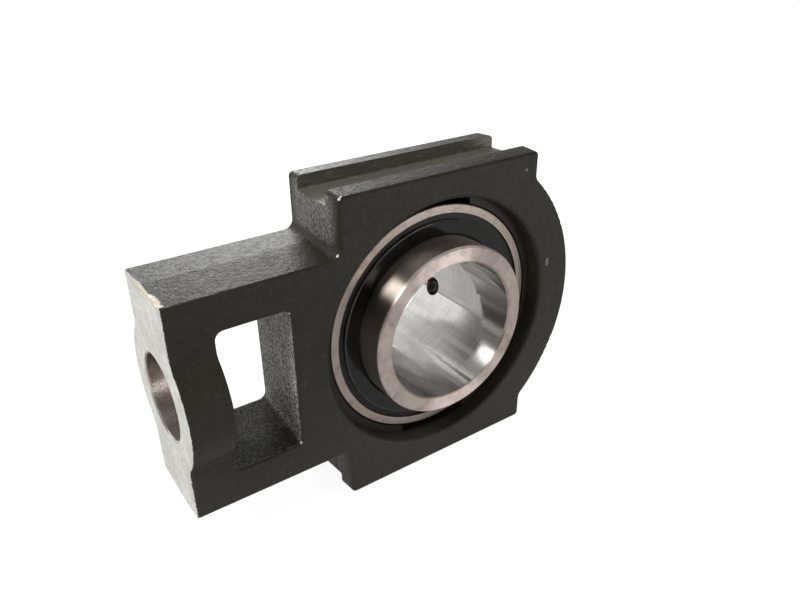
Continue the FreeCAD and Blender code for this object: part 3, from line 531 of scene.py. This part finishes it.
def pressed_cage():
    """Cold rolled steel strip of the cage and its rivets."""
    g = Graph("cage_steel")
    rolled = g.noise(0.9, 3.0, 0.6, place=g.combine(g.x, g.times(g.y, 4.0), g.z), seed=3)
    stains = g.noise(4.0, 3.0, seed=5)
    colour = g.mix(g.ramp(stains, 0.4, 0.7), grey(0.42, 0.02), grey(0.33, 0.05))
    return g.surface(colour, g.ramp(rolled, 0.3, 0.7, 0.28, 0.42), 1.0, g.bump(rolled, 0.008))


def seal_rubber():
    """Black moulded rubber, slightly glossy with grease at its inner edge."""
    g = Graph("seal_rubber")
    bloom = g.noise(6.0, 4.0, 0.6, seed=2)
    fine = g.noise(0.5, 2.0, seed=3)
    colour = g.mix(g.ramp(bloom, 0.4, 0.7), (0.0040, 0.0038, 0.0034), (0.0095, 0.0090, 0.0082))
    greasy = g.below(g.radius(g.x, g.z), RING_OUTSIDE + 6.0, 3.0)
    rough = g.math("SUBTRACT", g.ramp(bloom, 0.3, 0.7, 0.32, 0.44), g.times(greasy, 0.10))
    return g.surface(colour, rough, 0.0, g.bump(fine, 0.010), Specular_IOR_Level=0.30)


def blackened_disc():
    """Blackened sheet steel of the flingers, oily, with a painted highlight along their outer edges.
    """
    g = Graph("flinger_steel")
    marks = turned_marks(g, 0.5, 4)
    cloud = g.noise(7.0, 4.0, 0.6, seed=5)
    colour = g.mix(g.ramp(cloud, 0.35, 0.7), (0.0025, 0.0022, 0.0018), (0.0065, 0.0058, 0.0050))
    # painted highlight: a lighter rim along the outer edge of the flinger
    edge = g.both(g.above(g.radius(g.x, g.z), FLINGER_EDGE - 0.5, 0.12),
                  g.ramp(cloud, 0.3, 0.6, 0.4, 1.0))
    colour = g.cover(colour, (0.20, 0.190, 0.175), edge, 0.55)
    rough = g.ramp(cloud, 0.3, 0.7, 0.07, 0.14)
    return g.surface(colour, rough, 0.0, g.bump(marks, 0.004), Specular_IOR_Level=0.40)


def black_oxide():
    """Black oxide finish of the set screws, with lighter clouds."""
    g = Graph("screw_steel")
    cloud = g.noise(1.5, 3.0, seed=6)
    colour = g.mix(g.ramp(cloud, 0.45, 0.75), (0.012, 0.012, 0.012), (0.035, 0.034, 0.032))
    return g.surface(colour, g.ramp(cloud, 0.3, 0.7, 0.26, 0.40), 0.5, g.bump(cloud, 0.01))


def plated_nipple():
    """Yellowish zinc plating of the grease nipple."""
    g = Graph("nipple_steel")
    cloud = g.noise(2.5, 4.0, 0.6, seed=7)
    colour = g.mix(g.ramp(cloud, 0.35, 0.7), (0.58, 0.53, 0.40), (0.50, 0.47, 0.42))
    return g.surface(colour, g.ramp(cloud, 0.3, 0.7, 0.20, 0.34), 1.0, g.bump(cloud, 0.006))


def dress(material, *names):
    """Gives the named solids a material."""
    for name in names:
        slots = NODES[name].data.materials
        slots.clear()
        slots.append(material)


BALLS = sorted(name for name in NODES if name.startswith("ball_"))
dress(painted_casting(), "housing")
dress(outer_ring_steel(), "outer_ring")
dress(inner_ring_steel(), "inner_ring")
dress(polished_balls(), "nipple_ball", *BALLS)
dress(pressed_cage(), "cage_front", "cage_back", "cage_rivets")
dress(seal_rubber(), "seal_front", "seal_back")
dress(blackened_disc(), "flinger_front", "flinger_back")
dress(plated_nipple(), "grease_nipple")
SCREW_MATERIAL = black_oxide()
dress(SCREW_MATERIAL, "set_screw_1", "set_screw_2")


def threaded_screw(name, angle):
    """Set screw with a cut thread, a cup point and a hexagon socket, built around its own axis."""
    sides, rows_per_turn = 72, 8
    length, crest, root, pitch = 13.0 * MM, 5.54 * MM, 4.95 * MM, 1.5 * MM
    cup_rim, cup_depth, chamfer = 3.4 * MM, 1.0 * MM, 0.9 * MM
    socket, socket_depth, socket_tip = 3.0 * MM, 6.0 * MM, 1.2 * MM
    centre = 0.0004 * MM
    flank = 2.4  # height gained along a flank, in thread depths per pitch
    # Each row of points has a radius, a place along the axis and a shape
    rows = [(centre, cup_depth, "round"), (cup_rim - 0.3 * MM, 0.1 * MM, "round"),
            (cup_rim, 0.0, "round")]
    first, last = crest - cup_rim, length - chamfer
    count = round((last - first) / pitch * rows_per_turn)
    for index in range(count + 1):
        rows.append((crest, first + (last - first) * index / count, "thread"))
    rows += [(crest - chamfer, length, "round"), (socket + 0.75 * MM, length, "round"),
             (socket, length - 0.35 * MM, "hexagon"), (socket, length - socket_depth, "hexagon"),
             (centre, length - socket_depth - socket_tip, "round")]

    mesh = bpy.data.meshes.new(name)
    build = bmesh.new()
    rings = []
    for radius, along, kind in rows:
        ring = []
        for side in range(sides):
            turn = 2 * math.pi * side / sides
            out = radius
            if kind == "thread":
                phase = (along / pitch - side / sides) % 1.0
                out = root + (crest - root) * min(1.0, flank * min(phase, 1.0 - phase))
            if kind == "hexagon":
                out = radius / math.cos((turn + math.pi / 6) % (math.pi / 3) - math.pi / 6)
            ring.append(build.verts.new((out * math.cos(turn), out * math.sin(turn), along)))
        rings.append(ring)
    for lower, upper in zip(rings, rings[1:]):
        for side in range(sides):
            after = (side + 1) % sides
            build.faces.new((lower[side], lower[after], upper[after], upper[side]))
    build.faces.new(list(reversed(rings[0])))
    build.faces.new(rings[-1])
    bmesh.ops.recalc_face_normals(build, faces=build.faces)
    build.to_mesh(mesh)
    build.free()
    for polygon in mesh.polygons:
        polygon.use_smooth = False
    screw = bpy.data.objects.new(name, mesh)
    bpy.context.scene.collection.objects.link(screw)
    outwards = Vector((math.cos(angle), 0.0, math.sin(angle)))
    place = outwards * SCREW_POINT * MM + Vector((0.0, SCREW_PLANE * MM, 0.0))
    turned = outwards.to_track_quat("Z", "Y").to_matrix().to_4x4()
    mesh.transform(Matrix.Translation(place) @ turned)
    mesh.materials.append(SCREW_MATERIAL)
    return screw


for number, degrees in enumerate(SCREW_ANGLES, start=1):
    screw = threaded_screw(f"threaded_screw_{number}", math.radians(degrees))
    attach(screw, f"screw_{number}")
    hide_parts(f"set_screw_{number}")


def studio_floor():
    """White floor that keeps a soft shadow under the object, and is dimmer in reflections."""
    mesh = bpy.data.meshes.new("floor")
    level, size = CAD_BOX[0][2], FLOOR_HALF_SIZE
    corners = [(x, y, level) for x, y in
               ((-size, -size), (size, -size), (size, size), (-size, size))]
    mesh.from_pydata(corners, [], [(0, 1, 2, 3)])
    floor = bpy.data.objects.new("floor", mesh)
    bpy.context.scene.collection.objects.link(floor)

    g = Graph("floor")
    glossy = g.nodes.new("ShaderNodeLightPath").outputs["Is Glossy Ray"]
    white = g.nodes.new("ShaderNodeEmission")
    g.feed(white.inputs["Strength"],
           g.ramp(glossy, 0.0, 1.0, FLOOR_SEEN, FLOOR_IN_GLOSS, smooth=False))
    shaded, plain = (g.nodes.new("ShaderNodeBsdfDiffuse") for _ in range(2))
    shaded.inputs["Color"].default_value = (*[FLOOR_IN_SHADOW] * 3, 1.0)
    plain.inputs["Color"].default_value = (*[FLOOR_AS_LIGHT] * 3, 1.0)
    shown = g.nodes.new("ShaderNodeAddShader")
    pick = g.nodes.new("ShaderNodeMixShader")
    g.links.new(white.outputs[0], shown.inputs[0])
    g.links.new(shaded.outputs[0], shown.inputs[1])
    g.links.new(background_rays(g.nodes, g.links), pick.inputs[0])
    g.links.new(plain.outputs[0], pick.inputs[1])
    g.links.new(shown.outputs[0], pick.inputs[2])
    g.links.new(pick.outputs[0], g.output.inputs["Surface"])
    mesh.materials.append(g.material)


def background_rays(nodes, links, names=("Is Camera Ray", "Is Glossy Ray", "Is Transmission Ray")):
    """1 for the rays that show the background: from the camera, in gloss and through glass."""
    path = nodes.new("ShaderNodeLightPath")
    either = path.outputs[names[0]]
    for name in names[1:]:
        larger = nodes.new("ShaderNodeMath")
        larger.operation = "MAXIMUM"
        links.new(either, larger.inputs[0])
        links.new(path.outputs[name], larger.inputs[1])
        either = larger.outputs[0]
    return either


def studio_world():
    """White background, and in gloss a white backdrop behind the object under a dimmer ceiling.

    A direction in the world has three parts: across is its X, behind its Y and rise its Z.
    """
    world = bpy.data.worlds.new("studio")
    bpy.context.scene.world = world
    world.use_nodes = True
    nodes, links = world.node_tree.nodes, world.node_tree.links
    nodes.clear()

    def background(strength):
        node = nodes.new("ShaderNodeBackground")
        node.inputs["Color"].default_value = (1, 1, 1, 1)
        node.inputs["Strength"].default_value = strength
        return node

    def blend(factor, first, second):
        node = nodes.new("ShaderNodeMixShader")
        links.new(factor, node.inputs[0])
        links.new(first.outputs[0], node.inputs[1])
        links.new(second.outputs[0], node.inputs[2])
        return node

    def step(value, low, high, start, end):
        node = nodes.new("ShaderNodeMapRange")
        node.interpolation_type = "SMOOTHSTEP"
        links.new(value, node.inputs[0])
        for socket, number in zip(node.inputs[1:5], (low, high, start, end)):
            socket.default_value = number
        return node.outputs[0]

    direction = nodes.new("ShaderNodeSeparateXYZ")
    links.new(nodes.new("ShaderNodeTexCoord").outputs["Generated"], direction.inputs[0])
    across, behind, rise = direction.outputs
    past_edge = nodes.new("ShaderNodeMath")
    past_edge.operation = "SUBTRACT"
    links.new(behind, past_edge.inputs[0])
    links.new(step(rise, 0.25, 0.69, *BACKDROP_EDGE), past_edge.inputs[1])
    backdrop = step(past_edge.outputs[0], -0.006, 0.006, 0.0, 1.0)
    above_floor = step(rise, -0.09, -0.05, 0.0, 1.0)
    not_right = step(across, 0.05, 0.55, 1.0, 0.0)
    for other in (above_floor, not_right):
        node = nodes.new("ShaderNodeMath")
        node.operation = "MULTIPLY"
        links.new(backdrop, node.inputs[0])
        links.new(other, node.inputs[1])
        backdrop = node.outputs[0]
    ceiling = background(1.0)
    links.new(step(behind, 0.61, 0.73, CEILING_FRONT, CEILING_BACK), ceiling.inputs["Strength"])
    gloss = blend(backdrop, ceiling, background(1.0))
    path = nodes.new("ShaderNodeLightPath")
    lit = blend(path.outputs["Is Glossy Ray"], background(WORLD_AS_LIGHT), gloss)
    shown = background_rays(nodes, links, ("Is Camera Ray", "Is Transmission Ray"))
    final = blend(shown, lit, background(1.0))
    links.new(final.outputs[0], nodes.new("ShaderNodeOutputWorld").inputs["Surface"])


def softbox(name, place, width, height, radiance):
    """Rectangular lamp aimed at the object, with the power that gives it the radiance."""
    light = bpy.data.lights.new(name, "AREA")
    light.shape = "RECTANGLE"
    light.size = width
    light.size_y = height
    light.energy = radiance * math.pi * width * height
    lamp = bpy.data.objects.new(name, light)
    bpy.context.scene.collection.objects.link(lamp)
    lamp.location = place
    aim = LAMP_AIM - Vector(place)
    lamp.rotation_euler = aim.to_track_quat("-Z", "Y").to_euler()


def camera():
    """The photo's camera."""
    lens = bpy.data.cameras.new("camera")
    lens.sensor_fit = "HORIZONTAL"
    lens.sensor_width = SENSOR_WIDTH
    lens.lens = FOCAL_PIXELS * SENSOR_WIDTH / IMAGE_WIDTH
    lens.clip_start = 0.01
    lens.clip_end = 50.0
    viewer = bpy.data.objects.new("camera", lens)
    bpy.context.scene.collection.objects.link(viewer)
    level, rise = math.cos(CAMERA_ELEVATION), math.sin(CAMERA_ELEVATION)
    back = Vector((math.sin(CAMERA_AZIMUTH) * level, -math.cos(CAMERA_AZIMUTH) * level, rise))
    right = Vector((math.cos(CAMERA_AZIMUTH), math.sin(CAMERA_AZIMUTH), 0.0))
    up = back.cross(right)
    turned_right = right * math.cos(CAMERA_ROLL) + up * math.sin(CAMERA_ROLL)
    axes = Matrix((turned_right, back.cross(turned_right), back)).transposed()
    viewer.matrix_world = Matrix.Translation(CAMERA_TARGET + back * CAMERA_DISTANCE) @ axes.to_4x4()
    bpy.context.scene.camera = viewer


studio_floor()
studio_world()
for lamp in LAMPS:
    softbox(*lamp)
camera()
bpy.context.scene.view_settings.view_transform = "Standard"
